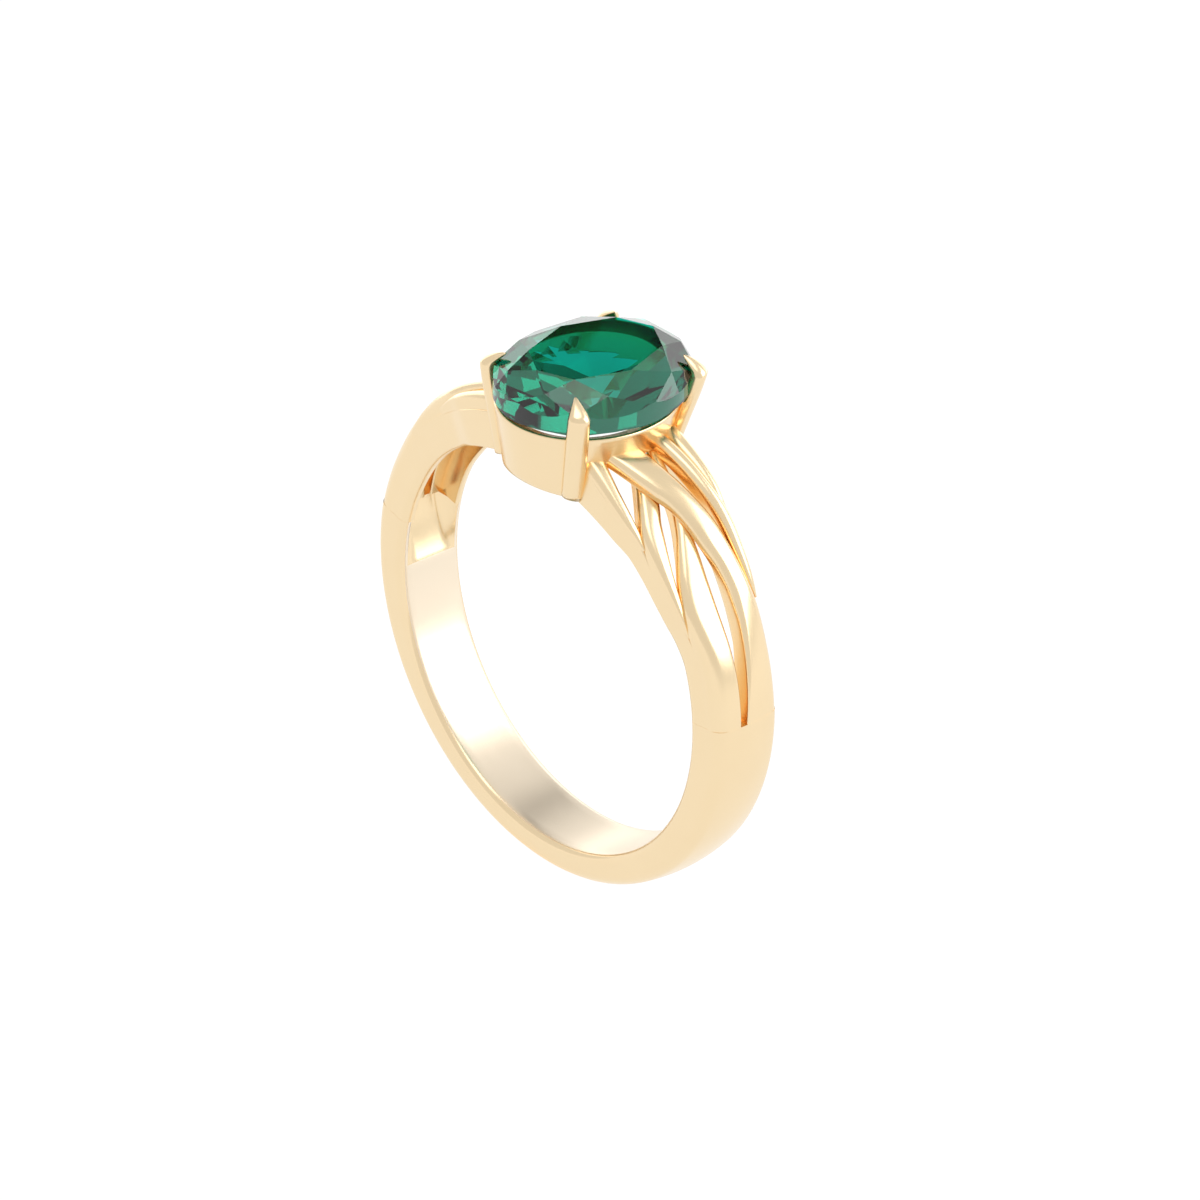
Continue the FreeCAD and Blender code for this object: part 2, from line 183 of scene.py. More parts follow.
def makeShank():
    start, end = band["end"], -180 - band["end"]
    half, corner = band["halfWidth"], band["outerCorner"]
    loops = []
    for k in range(band["stations"] + 1):
        angle = start + (end - start) * k / band["stations"]
        fromEnd = min(start - angle, angle - end)
        depth = band["scoopDepth"] * max(0.0, 1 - fromEnd / (start - band["scoopStart"]))
        section = barLoop(-half, half, outerRadius(angle), band["bore"], corner, corner, 0.0,
                          band["dome"], band["boreCorner"])
        loop = []
        for y, r in section:
            if onBore(r):
                edge = min(1.0, max(0.0, (band["scoopHalf"] - abs(y)) / band["scoopSide"]))
                r += depth * edge * edge * (3 - 2 * edge)
            loop.append(ringPoint(angle, y, r))
        loops.append(loop)
    return meshFromLoops("shank_body", loops)


# rim and foot are half sizes across and along the finger, with a height; seat is inset, height, underside.
# edge is how much is taken off the corners at the foot.
cupShape = {
    "rim": (3.15, 3.75, 10.85), "foot": (2.66, 3.1, 7.6), "wall": 0.4, "rimRound": 0.09, "edge": 0.05,
    "windowHalf": 1.55, "windowTop": 9.62, "seat": (0.74, 10.5, 10.15), "around": 240,
}


def cupHalves(z, inset):
    # the cup's half sizes across and along the finger at a height, set in from its face
    footX, footY, footZ = cupShape["foot"]
    rimX, rimY, rimZ = cupShape["rim"]
    share = (z - footZ) / (rimZ - footZ)
    return footX + (rimX - footX) * share - inset, footY + (rimY - footY) * share - inset


def cupLoop(turn):
    # profile from the outer foot up over the rim, down the seat and down inside
    c, s = math.cos(turn), math.sin(turn)
    rimZ = cupShape["rim"][2]
    wall, rounding, edge = cupShape["wall"], cupShape["rimRound"], cupShape["edge"]
    seatInset, seatZ, underZ = cupShape["seat"]

    def face(z, inset):
        halfX, halfY = cupHalves(z, inset)
        return halfX * c, halfY * s

    def foot(inset, lift):
        # the wall stands on the finger hole, except for the window under the strands on each side
        z = 8.0
        for _ in range(12):
            x, y = face(z, inset)
            z = math.sqrt((band["bore"] + lift) ** 2 - x * x)
        return cupShape["windowTop"] + lift if abs(y) < cupShape["windowHalf"] else z

    low, innerTop, innerLow = foot(0, edge), rimZ - rounding, foot(wall, edge)
    profile = [(edge, foot(edge, 0))]
    profile += [(0.0, low + (innerTop - low) * j / 12) for j in range(13)]
    for j in range(1, 7):
        a = math.pi * j / 7
        profile.append((rounding * (1 - math.cos(a)), innerTop + rounding * math.sin(a)))
    # the stone's seat slopes inwards to a blunted lip, then the wall falls back to its own thickness
    profile += [(2 * rounding, innerTop), (seatInset - 0.05, seatZ + 0.04), (seatInset, seatZ - 0.02)]
    for j in range(1, 5):
        profile.append((seatInset + (wall - seatInset) * j / 4, seatZ + (underZ - seatZ) * j / 4))
    profile += [(wall, underZ + (innerLow - underZ) * j / 8) for j in range(1, 9)]
    profile.append((wall - edge, foot(wall - edge, 0)))
    return [Vector((*face(z, inset), z)) * mm for inset, z in profile]


def makeCup():
    around = cupShape["around"]
    loops = [cupLoop(2 * math.pi * k / around) for k in range(around)]
    return meshFromLoops("cup_shell", loops, closed=True)


# Columns: angle, near edge, far edge, crown, underside, near rounding, far rounding, place of the crown, arch
crossStrand = (
    (10, -0.24, 1.5, 10.11, 9.24, 0.05, 0.42, 0.0, 0.2),
    (14, -0.15, 1.5, 10.13, 9.3, 0.08, 0.42, 0.0, 0.22),
    (20, -0.02, 1.5, 10.16, 9.34, 0.14, 0.42, 0.1, 0.28),
    (27, 0.14, 1.5, 10.19, 9.42, 0.2, 0.42, 0.3, 0.4),
    (33, 0.22, 1.46, 10.24, 9.5, 0.24, 0.42, 0.5, 0.5),
    (38, 0.22, 1.33, 10.3, 9.58, 0.28, 0.4, 0.62, 0.55),
    (44, 0.14, 1.16, 10.35, 9.76, 0.28, 0.34, 0.6, 0.6),
    (50, -0.06, 1.04, 10.39, 9.88, 0.28, 0.3, 0.5, 0.7),
    (55, -0.2, 0.92, 10.42, 9.9, 0.28, 0.28, 0.36, 0.8),
    (60, -0.42, 0.72, 10.44, 9.9, 0.26, 0.28, 0.14, 0.8),
    (64, -0.76, 0.56, 10.46, 9.89, 0.25, 0.28, -0.1, 0.7),
    (68, -1.04, 0.38, 10.47, 9.88, 0.24, 0.28, -0.33, 0.6),
    (75, -1.45, 0.08, 10.48, 9.86, 0.22, 0.26, -0.68, 0.45),
)
edgeStrand = (
    (35, 1.43, 1.49, 9.9, 9.5, 0.02, 0.02, 1.46, 0.4),
    (40, 1.22, 1.58, 10.13, 9.55, 0.14, 0.2, 1.36, 1.2),
    (46, 1.12, 1.63, 10.31, 9.6, 0.2, 0.28, 1.32, 1.5),
    (53, 1.08, 1.68, 10.48, 9.66, 0.24, 0.3, 1.3, 1.5),
    (60, 0.96, 1.5, 10.57, 9.8, 0.24, 0.26, 1.22, 1.1),
    (68, 0.8, 1.36, 10.6, 9.9, 0.24, 0.24, 1.08, 0.8),
    (75, 0.64, 1.24, 10.6, 9.95, 0.24, 0.24, 0.94, 0.8),
)
middleStrand = (
    (10, -1.5, -0.52, 10.11, 9.24, 0.42, 0.05, 0.0, 0.2),
    (14, -1.5, -0.49, 10.13, 9.25, 0.42, 0.08, 0.0, 0.2),
    (20, -1.5, -0.43, 10.12, 9.26, 0.41, 0.14, -0.2, 0.22),
    (27, -1.54, -0.37, 10.07, 9.26, 0.38, 0.2, -0.6, 0.3),
    (32, -1.6, -0.32, 10.0, 9.27, 0.34, 0.24, -0.8, 0.4),
    (36, -1.62, -0.27, 9.95, 9.3, 0.3, 0.26, -0.85, 0.5),
    (40, -1.54, -0.2, 9.92, 9.34, 0.28, 0.28, -0.8, 0.6),
    (44, -1.38, -0.12, 9.9, 9.4, 0.28, 0.28, -0.7, 0.7),
    (48, -1.1, -0.02, 9.89, 9.42, 0.28, 0.28, -0.52, 0.7),
    (52, -0.78, 0.08, 9.89, 9.36, 0.27, 0.27, -0.33, 0.7),
    (56, -0.44, 0.24, 9.9, 9.28, 0.26, 0.26, -0.1, 0.7),
    (62, -0.04, 0.5, 9.93, 9.24, 0.24, 0.24, 0.23, 0.7),
    (75, 0.5, 1.0, 10.04, 9.4, 0.22, 0.22, 0.75, 0.7),
)
shortStrand = (
    (32, -1.6, -1.5, 9.3, 9.0, 0.03, 0.03, -1.55, 0.4),
    (37, -1.78, -1.5, 9.5, 9.0, 0.1, 0.1, -1.64, 0.6),
    (42, -1.87, -1.46, 9.6, 9.0, 0.16, 0.16, -1.66, 0.8),
    (46, -1.89, -1.36, 9.65, 9.0, 0.2, 0.2, -1.62, 0.8),
    (50, -1.88, -1.2, 9.7, 9.04, 0.24, 0.22, -1.54, 0.8),
    (54, -1.82, -1.0, 9.76, 9.1, 0.26, 0.24, -1.4, 0.8),
    (58, -1.66, -0.78, 9.82, 9.14, 0.28, 0.24, -1.22, 0.8),
    (62, -1.38, -0.44, 9.87, 9.18, 0.28, 0.24, -0.9, 0.8),
    (66, -1.04, -0.14, 9.92, 9.2, 0.26, 0.22, -0.6, 0.8),
    (70, -0.7, 0.12, 9.97, 9.26, 0.24, 0.2, -0.3, 0.8),
    (75, -0.3, 0.44, 10.04, 9.4, 0.2, 0.2, 0.07, 0.8),
)
lowRimStrand = (
    (54, -1.87, -1.72, 9.34, 9.1, 0.05, 0.05, -1.8, 0.6),
    (57, -1.96, -1.68, 9.46, 9.15, 0.12, 0.1, -1.82, 0.8),
    (60, -2.06, -1.66, 9.58, 9.2, 0.17, 0.15, -1.86, 0.8),
    (64, -2.12, -1.6, 9.72, 9.24, 0.22, 0.2, -1.86, 0.8),
    (68, -2.15, -1.53, 9.88, 9.34, 0.26, 0.24, -1.84, 0.8),
    (71, -2.18, -1.45, 10.02, 9.46, 0.28, 0.26, -1.82, 0.8),
    (75, -2.22, -1.34, 10.22, 9.6, 0.3, 0.3, -1.78, 0.8),
)
tallRimStrand = (
    (51, 1.66, 1.74, 9.95, 9.66, 0.03, 0.03, 1.7, 0.4),
    (56, 1.56, 1.88, 10.2, 9.68, 0.14, 0.18, 1.72, 0.8),
    (60, 1.5, 2.02, 10.32, 9.7, 0.22, 0.26, 1.76, 0.8),
    (67, 1.41, 2.1, 10.4, 9.72, 0.28, 0.3, 1.76, 0.8),
    (75, 1.33, 2.16, 10.46, 9.78, 0.3, 0.32, 1.75, 0.8),
)


def angleAtCup(y, radius, sunk=0.16):
    # where a bar at this height and distance along the finger runs into the cup's wall
    angle = 74.0
    for _ in range(12):
        halfX, halfY = cupHalves(radius * math.sin(math.radians(angle)), sunk)
        x = halfX * math.sqrt(max(0.0, 1 - (y / halfY) ** 2))
        angle = math.degrees(math.acos(min(1.0, x / radius)))
    return angle


def sweepToCup(name, rows, section):
    first, last = rows[0][0], rows[-1][0]
    loops = []
    for k in range(barSteps["stations"] + 1):
        share = k / barSteps["stations"]
        row = smoothRows(rows, [first + (last - first) * share])[0]
        loops.append([
            ringPoint(first + (angleAtCup(y, r) - first) * share, y, r) for y, r in section(row)
        ])
    return meshFromLoops(name, loops)


def makeStrand(name, rows):
    return sweepToCup(name, rows, lambda row: barLoop(*row[1:]))


# Walls stand on the finger hole.
# Columns: angle, outer face, top edge, rounding of the top, rounding of the foot
lowWall = (
    (10, 1.496, 9.33, 0.0, 0.3),
    (24, 1.496, 9.33, 0.0, 0.3),
    (31, 1.6, 9.3, 0.02, 0.26),
    (37, 1.78, 9.15, 0.05, 0.22),
    (43, 1.87, 9.05, 0.05, 0.18),
    (49, 1.89, 9.15, 0.05, 0.15),
    (54, 1.9, 9.26, 0.06, 0.12),
    (60, 2.07, 9.38, 0.08, 0.1),
    (67, 2.16, 9.58, 0.08, 0.1),
    (75, 2.22, 9.96, 0.08, 0.1),
)
tallWall = (
    (10, 1.496, 9.33, 0.0, 0.3),
    (24, 1.496, 9.5, 0.0, 0.3),
    (38, 1.6, 9.64, 0.0, 0.24),
    (46, 1.69, 9.7, 0.0, 0.2),
    (53, 1.76, 9.74, 0.04, 0.16),
    (60, 2.06, 9.76, 0.08, 0.12),
    (67, 2.17, 9.8, 0.08, 0.1),
    (75, 2.22, 9.88, 0.08, 0.1),
)
wallThick = 0.45


def makeWall(name, rows, side):
    def section(row):
        _, face, top, roundTop, roundFoot = row
        loop = barLoop(-face, -face + wallThick, top, band["bore"], max(roundTop, 0.004), softFoot, 0.0, 0.0,
                       roundFoot, softFoot)
        return [(y * -side, r) for y, r in loop]

    return sweepToCup(name, rows, section)


# foot, girdle and tip are the bar's centre across and along the finger; setOver moves the top with the stone
clawShape = {
    "foot": (1.9, 2.22), "girdle": (2.52, 2.94), "tip": (1.95, 2.66), "low": 7.9, "girdleZ": 11.9,
    "top": 12.52, "width": 0.84, "thick": 0.62, "turn": 36.7, "setOver": (0.09, 0.09),
    "footGap": 0.16, "squareWide": 0.8, "squareThick": 0.9, "around": 32, "steps": 5,
}


def signedPower(value, power):
    return math.copysign(abs(value) ** power, value)


def makeClaw(name, signX, signY):
    c = clawShape
    low, girdle = c["low"], c["girdleZ"]
    # height, way from foot to girdle, way from girdle to tip, width share, thickness share
    stations = [(low + (girdle - low) * share, share, 0.0, 1.0, 1.0) for share in (0.0, 0.3, 0.6, 0.85)]
    stations += [
        (girdle, 0.97, 0.0, 0.98, 1.0),
        (girdle + 0.2, 1.0, 0.12, 0.84, 0.95),
        (girdle + 0.36, 1.0, 0.38, 0.62, 0.82),
        (girdle + 0.49, 1.0, 0.66, 0.38, 0.62),
        (girdle + 0.58, 1.0, 0.9, 0.18, 0.36),
        (c["top"], 1.0, 1.04, 0.05, 0.08),
    ]
    heights = []
    for (here, *_), (above, *_) in zip(stations, stations[1:]):
        heights += [here + (above - here) * j / c["steps"] for j in range(c["steps"])]
    heights.append(c["top"])
    turn = math.radians(c["turn"]) * signX * signY
    loops = []
    for z, along, lean, wide, thick in smoothRows(stations, heights):
        centre = []
        for axis, sign in ((0, signX), (1, signY)):
            value = c["foot"][axis] + (c["girdle"][axis] - c["foot"][axis]) * along
            value += (c["tip"][axis] - c["girdle"][axis]) * lean
            centre.append(sign * value + c["setOver"][axis] * along)
        loop = []
        for k in range(c["around"]):
            a = 2 * math.pi * k / c["around"]
            across = c["width"] / 2 * wide * signedPower(math.cos(a), c["squareWide"])
            outward = c["thick"] / 2 * thick * signedPower(math.sin(a), c["squareThick"]) * signX
            x = centre[0] + outward * math.cos(turn) - across * math.sin(turn)
            y = centre[1] + outward * math.sin(turn) + across * math.cos(turn)
            lowest = math.sqrt(max(0.0, (band["bore"] + c["footGap"]) ** 2 - x * x))
            loop.append(Vector((x, y, max(z, lowest))) * mm)
        loops.append(loop)
    return meshFromLoops(name, loops)


# An oval brilliant. The knee is where the steep tier under the girdle meets the long facets;
# tierRise lifts the tier between the main facets, kneeRise and kneeDrop tilt the facets beside them.
stoneShape = {
    "radii": (3.2, 4.0), "girdle": 11.8, "girdleDip": 0.14, "girdleLow": 11.12, "table": 12.77, "culet": 9.0,
    "kneeShare": 0.82, "kneeZ": 10.76, "ridgeShare": 0.3, "ridgeBulge": 1.02,
    "tierRise": 0.03, "kneeRise": 0.03, "kneeDrop": 0.05,
    "tableCorners": ((1.94, 0.0), (1.27, 2.14), (0.0, 2.82)), "stars": ((2.47, 1.53), (1.02, 3.32)),
    "starZ": 12.44, "sides": 160, "setOver": (0.09, 0.09),
}


def stoneOval(degrees, z, share=1.0):
    a = math.radians(degrees)
    rx, ry = stoneShape["radii"]
    return Vector((rx * math.cos(a) * share, ry * math.sin(a) * share, z))


def inQuarter(corner, degrees, z):
    # a corner given for the first quarter, moved to the quarter that the angle lies in
    a = math.radians(degrees)
    return Vector((math.copysign(corner[0], math.cos(a)), math.copysign(corner[1], math.sin(a)), z))


def facetPlanes():
    # three points on every facet
    s = stoneShape

    def tableCorner(k):
        return inQuarter(s["tableCorners"][(0, 1, 2, 1)[k % 4]], 45 * k, s["table"])

    def star(k):
        return inQuarter(s["stars"][(0, 1, 1, 0)[k % 4]], 45 * k + 22.5, s["starZ"])

    def knee(degrees, lift=0.0):
        return stoneOval(degrees, s["kneeZ"] + lift, s["kneeShare"])

    culet = Vector((0, 0, s["culet"]))
    ridgeZ = s["culet"] + (s["kneeZ"] - s["culet"]) * s["ridgeShare"] / s["kneeShare"] * s["ridgeBulge"]
    planes = []
    for k in range(8):
        main = 45 * k
        between = main + 22.5
        planes.append((tableCorner(k), star(k - 1), star(k)))
        planes.append((tableCorner(k), tableCorner(k + 1), star(k)))
        for side in (main + 11, main + 34):
            high = stoneOval(side, s["girdle"] + s["girdleDip"])
            planes.append((star(k), high, stoneOval(between, s["girdle"])))
        for turn, lift in ((main, 0.0), (main + 15, s["tierRise"]), (main + 30, s["tierRise"])):
            point, across = stoneOval(turn, s["girdleLow"] + lift), stoneOval(turn + 90, 0)
            planes.append((point, knee(turn), point + across))
        planes.append((culet, knee(main), knee(main) + stoneOval(main + 90, 0)))
        ridge = stoneOval(between, ridgeZ, s["ridgeShare"])
        for side in (main, main + 45):
            planes.append((ridge, knee(between, s["kneeRise"]), knee(side, -s["kneeDrop"])))
    return planes


def makeStone():
    s = stoneShape
    sides = s["sides"]
    bm = bmesh.new()
    low, high = [
        [bm.verts.new(stoneOval(360 * k / sides, z) * mm) for k in range(sides)]
        for z in (s["culet"] - 0.3, s["table"])
    ]
    for k in range(sides):
        j = (k + 1) % sides
        bm.faces.new((low[k], low[j], high[j], high[k]))
    bm.faces.new(low[::-1])
    bm.faces.new(high)
    middle = Vector((0, 0, s["girdle"] - 0.1))
    for a, b, c in facetPlanes():
        normal = (b - a).cross(c - a).normalized()
        if normal.dot(middle - a) > 0:
            normal = -normal
        cut = bmesh.ops.bisect_plane(bm, geom=bm.verts[:] + bm.edges[:] + bm.faces[:], dist=1e-8,
                                     plane_co=a * mm, plane_no=normal, clear_outer=True)
        edges = [g for g in cut["geom_cut"] if isinstance(g, bmesh.types.BMEdge)]
        if len(edges) > 2:
            bmesh.ops.edgenet_fill(bm, edges=edges)
    for vertex in bm.verts:
        vertex.co += Vector((*s["setOver"], 0)) * mm
    bmesh.ops.remove_doubles(bm, verts=bm.verts, dist=2e-7)
    bmesh.ops.dissolve_degenerate(bm, dist=2e-7, edges=bm.edges)
    bmesh.ops.recalc_face_normals(bm, faces=bm.faces)
    for face in bm.faces:
        face.smooth = abs(face.normal.z) < 0.05
    for edge in bm.edges:
        if len(edge.link_faces) == 2:
            edge.smooth = edge.calc_face_angle() < math.radians(4)
    return addObject("stone_facets", bm)


def newMaterial(name):
    material = bpy.data.materials.new(name)
    material.use_nodes = True
    return material, material.node_tree, material.node_tree.nodes["Principled BSDF"]


def newGroup(name, kind, inputs, outputs):
    group = bpy.data.node_groups.new(name, "ShaderNodeTree")
    for socket in inputs:
        group.interface.new_socket(socket, in_out="INPUT", socket_type=kind)
    for socket in outputs:
        group.interface.new_socket(socket, in_out="OUTPUT", socket_type=kind)
    return group, group.nodes.new("NodeGroupInput"), group.nodes.new("NodeGroupOutput")


polishPattern = {"hazeDetail": 3.0, "fineness": 9.0, "swirlDetail": 5.0, "swirlBend": 2.0, "depth": 0.01}


def makePolishMarks():
    # the faint swirls and haze of hand polishing
    group, inputs, outputs = newGroup("polishMarks", "NodeSocketFloat", ("Scale", "Smoothest", "Dullest"),
                                      ("Roughness", "Height", "Haze"))
    nodes, links = group.nodes, group.links
    place = nodes.new("ShaderNodeTexCoord")
    haze = nodes.new("ShaderNodeTexNoise")
    haze.inputs["Detail"].default_value = polishPattern["hazeDetail"]
    links.new(place.outputs["Object"], haze.inputs["Vector"])
    links.new(inputs.outputs["Scale"], haze.inputs["Scale"])
    fine = nodes.new("ShaderNodeMath")
    fine.operation = "MULTIPLY"
    fine.inputs[1].default_value = polishPattern["fineness"]
    links.new(inputs.outputs["Scale"], fine.inputs[0])
    swirls = nodes.new("ShaderNodeTexNoise")
    swirls.inputs["Detail"].default_value = polishPattern["swirlDetail"]
    swirls.inputs["Distortion"].default_value = polishPattern["swirlBend"]
    links.new(place.outputs["Object"], swirls.inputs["Vector"])
    links.new(fine.outputs[0], swirls.inputs["Scale"])
    spread = nodes.new("ShaderNodeMapRange")
    links.new(haze.outputs["Fac"], spread.inputs["Value"])
    links.new(inputs.outputs["Smoothest"], spread.inputs["To Min"])
    links.new(inputs.outputs["Dullest"], spread.inputs["To Max"])
    links.new(spread.outputs["Result"], outputs.inputs["Roughness"])
    links.new(swirls.outputs["Fac"], outputs.inputs["Height"])
    links.new(haze.outputs["Fac"], outputs.inputs["Haze"])
    return group


# reach and limits of the ambient occlusion that marks where the deep orange painted reflection goes
paintedCreviceMask = {"reach": 1.6, "closed": 0.25, "open": 0.7, "samples": 6}


def makePaintedCreviceReflection():
    # painted reflection: gold is tinted deep orange where ambient occlusion finds gold facing gold close by,
    # standing in for light bounced between them
    group, inputs, outputs = newGroup("paintedCreviceReflection", "NodeSocketColor", ("Colour", "PaintedReflectionColour"), ("Colour",))
    nodes, links = group.nodes, group.links
    openness = nodes.new("ShaderNodeAmbientOcclusion")
    openness.samples = paintedCreviceMask["samples"]
    openness.inputs["Distance"].default_value = paintedCreviceMask["reach"] * mm
    spread = nodes.new("ShaderNodeMapRange")
    spread.inputs["From Min"].default_value = paintedCreviceMask["closed"]
    spread.inputs["From Max"].default_value = paintedCreviceMask["open"]
    mix = nodes.new("ShaderNodeMix")
    mix.data_type = "RGBA"
    links.new(openness.outputs["AO"], spread.inputs["Value"])
    links.new(spread.outputs["Result"], mix.inputs["Factor"])
    links.new(inputs.outputs["PaintedReflectionColour"], mix.inputs["A"])
    links.new(inputs.outputs["Colour"], mix.inputs["B"])
    links.new(mix.outputs["Result"], outputs.inputs["Colour"])
    return group


# gold outside, and in the finger hole a softer polish whose paler colour is a painted reflection of the
# bright room; each has its own deep orange painted reflection for crevices
goldFinish = {
    "colour": (0.862, 0.68, 0.43), "hazeColour": (0.88, 0.705, 0.455),
    "paintedReflectionColour": (0.97, 0.64, 0.29), "scale": 900.0, "smoothest": 0.19, "dullest": 0.25, "bump": 0.15,
}
# painted reflection: the paler colour in the finger hole stands in for its brighter, whiter reflection; the
# higher roughness is its softer polish
borePaintedSheenAndPolish = {
    "colour": (0.875, 0.755, 0.59), "hazeColour": (0.89, 0.775, 0.62),
    "paintedReflectionColour": (1.0, 0.66, 0.24), "scale": 700.0, "smoothest": 0.28, "dullest": 0.36, "bump": 0.2,
}


def makeGold(name, marks, paintedReflectionGroup, settings):
    material, tree, shader = newMaterial(name)
    nodes, links = tree.nodes, tree.links
    shader.inputs["Metallic"].default_value = 1.0
    polish = nodes.new("ShaderNodeGroup")
    polish.node_tree = marks
    polish.inputs["Scale"].default_value = settings["scale"]
    polish.inputs["Smoothest"].default_value = settings["smoothest"]
    polish.inputs["Dullest"].default_value = settings["dullest"]
    tint = nodes.new("ShaderNodeMix")
    tint.data_type = "RGBA"
    tint.inputs["A"].default_value = (*settings["colour"], 1)
    tint.inputs["B"].default_value = (*settings["hazeColour"], 1)
    links.new(polish.outputs["Haze"], tint.inputs["Factor"])
    # painted reflection: the base colour turns deep orange in crevices
    paintedReflectionNode = nodes.new("ShaderNodeGroup")
    paintedReflectionNode.node_tree = paintedReflectionGroup
    paintedReflectionNode.inputs["PaintedReflectionColour"].default_value = (*settings["paintedReflectionColour"], 1)
    links.new(tint.outputs["Result"], paintedReflectionNode.inputs["Colour"])
    links.new(paintedReflectionNode.outputs["Colour"], shader.inputs["Base Color"])
    links.new(polish.outputs["Roughness"], shader.inputs["Roughness"])
    bump = nodes.new("ShaderNodeBump")
    bump.inputs["Strength"].default_value = settings["bump"]
    bump.inputs["Distance"].default_value = polishPattern["depth"] * mm
    links.new(polish.outputs["Height"], bump.inputs["Height"])
    links.new(bump.outputs["Normal"], shader.inputs["Normal"])
    return material


stoneFinish = {
    "deep": (0.015, 0.48, 0.4), "light": (0.04, 0.68, 0.59), "ior": 1.66, "specular": 0.4,
    "absorb": (0.03, 0.87, 0.83), "density": 1250.0, "zoneScale": 260.0, "zoneEdges": (0.3, 0.7),
}


def makeStoneMaterial():
    material, tree, shader = newMaterial("emeraldGreen")
    nodes, links = tree.nodes, tree.links
    shader.inputs["Transmission Weight"].default_value = 1.0
    shader.inputs["Metallic"].default_value = 0.0
    shader.inputs["IOR"].default_value = stoneFinish["ior"]
    shader.inputs["Specular IOR Level"].default_value = stoneFinish["specular"]
    shader.inputs["Roughness"].default_value = 0.0
    place = nodes.new("ShaderNodeTexCoord")
    zones = nodes.new("ShaderNodeTexNoise")
    zones.inputs["Scale"].default_value = stoneFinish["zoneScale"]
    zones.inputs["Detail"].default_value = 2.0
    links.new(place.outputs["Object"], zones.inputs["Vector"])
    ramp = nodes.new("ShaderNodeValToRGB")
    for element, shade, edge in zip(ramp.color_ramp.elements, ("deep", "light"), stoneFinish["zoneEdges"]):
        element.color = (*stoneFinish[shade], 1)
        element.position = edge
    links.new(zones.outputs["Fac"], ramp.inputs["Fac"])
    links.new(ramp.outputs["Color"], shader.inputs["Base Color"])
    inside = nodes.new("ShaderNodeVolumeAbsorption")
    inside.inputs["Color"].default_value = (*stoneFinish["absorb"], 1)
    inside.inputs["Density"].default_value = stoneFinish["density"]
    links.new(inside.outputs["Volume"], nodes["Material Output"].inputs["Volume"])
    return material


# size in metres
lightTable = {
    "size": 3.0, "glow": 1.0, "dimmest": 0.985, "fibreScale": 400.0,
    "colour": (0.03, 0.03, 0.03), "roughness": 0.9,
}


def makeFloor():
    bpy.ops.mesh.primitive_plane_add(size=lightTable["size"], location=(0, 0, cadBox[0].z))
    floor = bpy.context.object
    floor.name = "light_table"
    material, tree, shader = newMaterial("litPaper")
    nodes, links = tree.nodes, tree.links
    fibres = nodes.new("ShaderNodeTexNoise")
    fibres.inputs["Scale"].default_value = lightTable["fibreScale"]
    shade = nodes.new("ShaderNodeMapRange")
    shade.inputs["To Min"].default_value = lightTable["dimmest"]
    links.new(fibres.outputs["Fac"], shade.inputs["Value"])
    links.new(shade.outputs["Result"], shader.inputs["Emission Color"])
    shader.inputs["Emission Strength"].default_value = lightTable["glow"]
    shader.inputs["Base Color"].default_value = (*lightTable["colour"], 1)
    shader.inputs["Roughness"].default_value = lightTable["roughness"]
    floor.data.materials.append(material)


def addSoftbox(name, place, target, width, height, glow):
    # glow is how bright the box itself looks
    light = bpy.data.lights.new(name, "AREA")
    light.shape = "RECTANGLE"
    light.size, light.size_y = width, height
    light.energy = glow * width * height * math.pi
    holder = bpy.data.objects.new(name, light)
    holder.location = place
    holder.rotation_euler = (Vector(target) - Vector(place)).to_track_quat("-Z", "Y").to_euler()
    holder.visible_camera = False
    bpy.context.scene.collection.objects.link(holder)


# Boxes are place, target, width, height and glow, in metres: one over the crown, one behind on the right
# for the strands and a low one behind on the left for the hole. The card is a dark patch of the room
# in one direction, and its edges are the cosines of two angles from it.
studio = {
    "roomColour": (1.0, 0.995, 0.985), "roomGlow": 0.88,
    "cardSide": (-0.66, 0.57, 0.52), "cardEdge": (0.9, 0.965), "cardGlow": 0.05,
    "boxes": {
        "overheadBox": ((0.02, -0.05, 0.26), (0, 0, 0), 0.16, 0.16, 1.3),
        "strandBox": ((0.15, 0.15, 0.13), (0.006, 0, 0.006), 0.22, 0.18, 2.3),
        "boreBox": ((-0.044, 0.042, 0.017), (0, 0, 0.017), 0.15, 0.05, 0.88),
    },
}


def makeStudio():
    world = bpy.data.worlds.new("studio")
    world.use_nodes = True
    bpy.context.scene.world = world
    sky = world.node_tree.nodes["Background"]
    sky.inputs["Color"].default_value = (*studio["roomColour"], 1)
    # the dark card, high up behind the ring on the left, keeps the stone's table deep green
    nodes, links = world.node_tree.nodes, world.node_tree.links
    place = nodes.new("ShaderNodeTexCoord")
    towards = nodes.new("ShaderNodeVectorMath")
    towards.operation = "DOT_PRODUCT"
    towards.inputs[1].default_value = Vector(studio["cardSide"]).normalized()
    glow = nodes.new("ShaderNodeMapRange")
    glow.interpolation_type = "SMOOTHSTEP"
    glow.inputs["From Min"].default_value = studio["cardEdge"][0]
    glow.inputs["From Max"].default_value = studio["cardEdge"][1]
    glow.inputs["To Min"].default_value = studio["roomGlow"]
    glow.inputs["To Max"].default_value = studio["cardGlow"]
    links.new(place.outputs["Generated"], towards.inputs[0])
    links.new(towards.outputs["Value"], glow.inputs["Value"])
    links.new(glow.outputs["Result"], sky.inputs["Strength"])
    for name, settings in studio["boxes"].items():
        addSoftbox(name, *settings)
    scene = bpy.context.scene
    scene.view_settings.view_transform = "Standard"
    scene.view_settings.look = "None"


# degrees, and metres except for the lens
camera = {
    "azimuth": 45.98, "elevation": 33.3, "roll": 4.61, "distance": 0.156,
    "lens": 122.83, "across": 0.001144, "up": 0.001453,
}


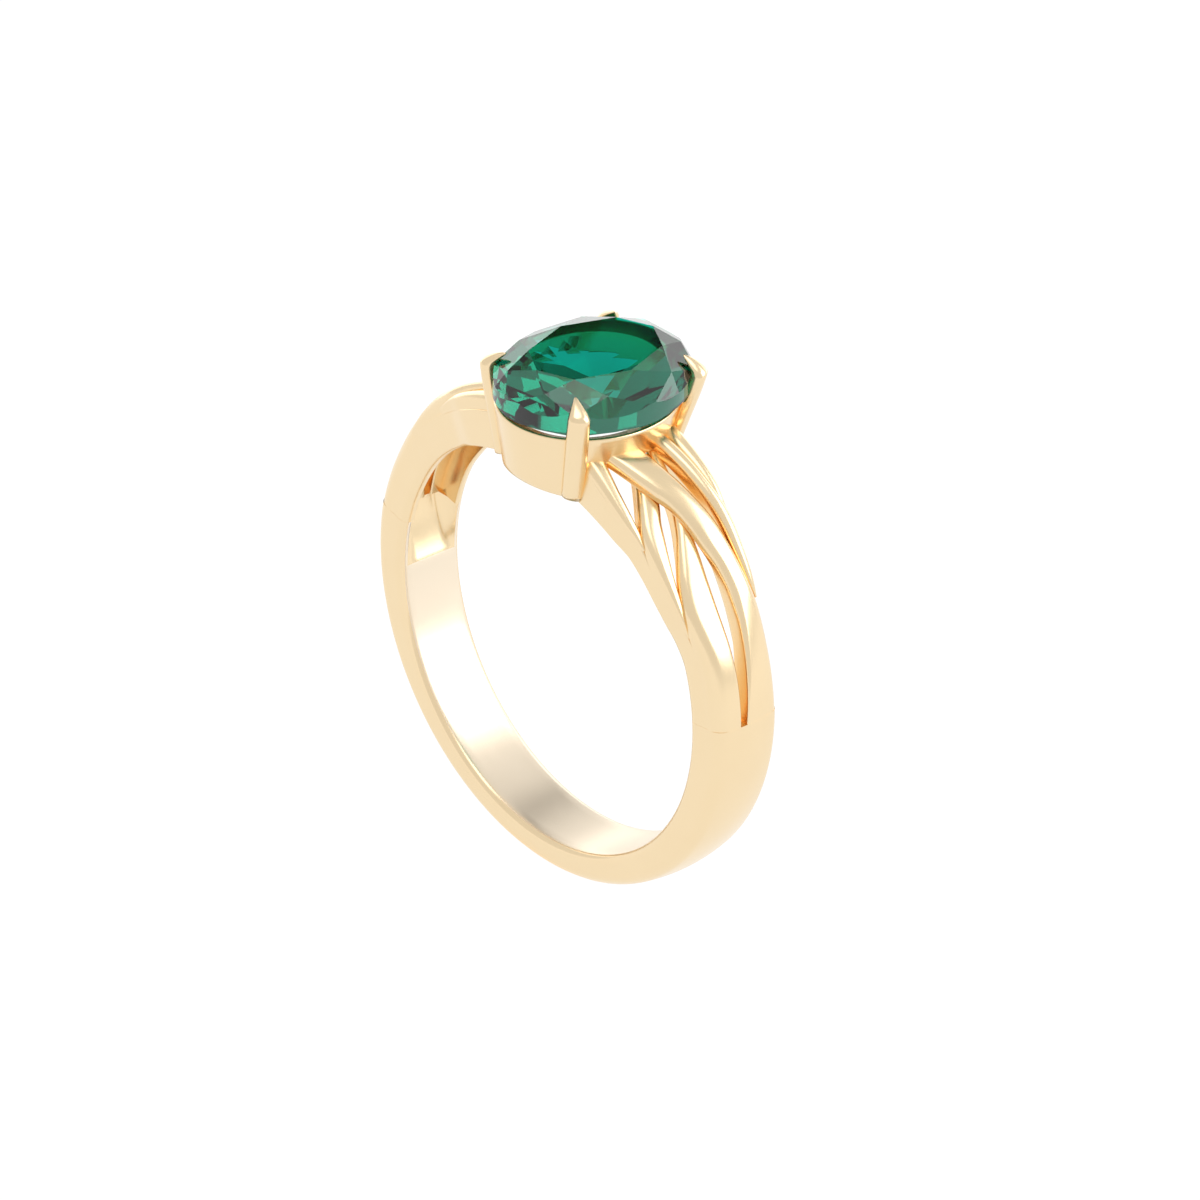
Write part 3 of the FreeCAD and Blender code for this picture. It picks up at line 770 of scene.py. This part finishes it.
def makeCamera():
    a, e, roll = (math.radians(camera[k]) for k in ("azimuth", "elevation", "roll"))
    forward = Vector((-math.sin(a) * math.cos(e), math.cos(a) * math.cos(e), -math.sin(e)))
    level = Vector((math.cos(a), math.sin(a), 0))
    upright = level.cross(forward)
    right = level * math.cos(roll) + upright * math.sin(roll)
    up = upright * math.cos(roll) - level * math.sin(roll)
    data = bpy.data.cameras.new("studioCamera")
    data.lens = camera["lens"]
    data.sensor_width = 36.0
    data.clip_start, data.clip_end = 0.01, 10.0
    holder = bpy.data.objects.new("studioCamera", data)
    place = -forward * camera["distance"] + right * camera["across"] + up * camera["up"]
    holder.matrix_world = Matrix((
        (right.x, up.x, -forward.x, place.x),
        (right.y, up.y, -forward.y, place.y),
        (right.z, up.z, -forward.z, place.z),
        (0, 0, 0, 1),
    ))
    bpy.context.scene.collection.objects.link(holder)
    bpy.context.scene.camera = holder


def standFor(piece, node, slot, *materials):
    # a piece without a node of its own is an extra one
    for material in materials:
        piece.data.materials.append(material)
    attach(piece, "root")
    if node:
        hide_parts(node)
    return piece


def placePair(right, name, extra=False):
    left = halfTurned(right, f"left_{name}_bar")
    for side, piece in (("right", right), ("left", left)):
        standFor(piece, None if extra else f"{side}_{name}", "gold", gold)


marks = makePolishMarks()
# painted reflection for crevices, shared by both golds
paintedReflectionGroup = makePaintedCreviceReflection()
gold = makeGold("polishedGold", marks, paintedReflectionGroup, goldFinish)
borePaintedSheenGold = makeGold("borePaintedSheenGold", marks, paintedReflectionGroup, borePaintedSheenAndPolish)
emerald = makeStoneMaterial()
print("materials made")

shank = standFor(makeShank(), "shank", "gold", gold, borePaintedSheenGold)
# faces in the finger hole take the gold with the paler painted reflection
for face in shank.data.polygons:
    if onBore(math.hypot(face.center.x, face.center.z) / mm):
        face.material_index = 1
strands = {
    "cross_strand": crossStrand, "edge_strand": edgeStrand, "middle_strand": middleStrand,
    "short_strand": shortStrand,
}
for name, rows in strands.items():
    placePair(makeStrand(f"right_{name}_bar", rows), name)
for name, rows, side in (("low_rail", lowWall, -1), ("tall_rail", tallWall, 1)):
    placePair(makeWall(f"right_{name}_bar", rows, side), name)
for name, rows in (("low_rim", lowRimStrand), ("tall_rim", tallRimStrand)):
    placePair(makeStrand(f"right_{name}_bar", rows), name, extra=True)
standFor(makeCup(), "stone_cup", "gold", gold)
clawCorners = {"right_front": (1, -1), "right_back": (1, 1), "left_back": (-1, 1), "left_front": (-1, -1)}
for corner, signs in clawCorners.items():
    standFor(makeClaw(f"claw_{corner}_bar", *signs), f"claw_{corner}", "gold", gold)
standFor(makeStone(), "stone", "green_stone", emerald)
print("pieces made")

makeFloor()
makeStudio()
makeCamera()
print("camera and lights set")
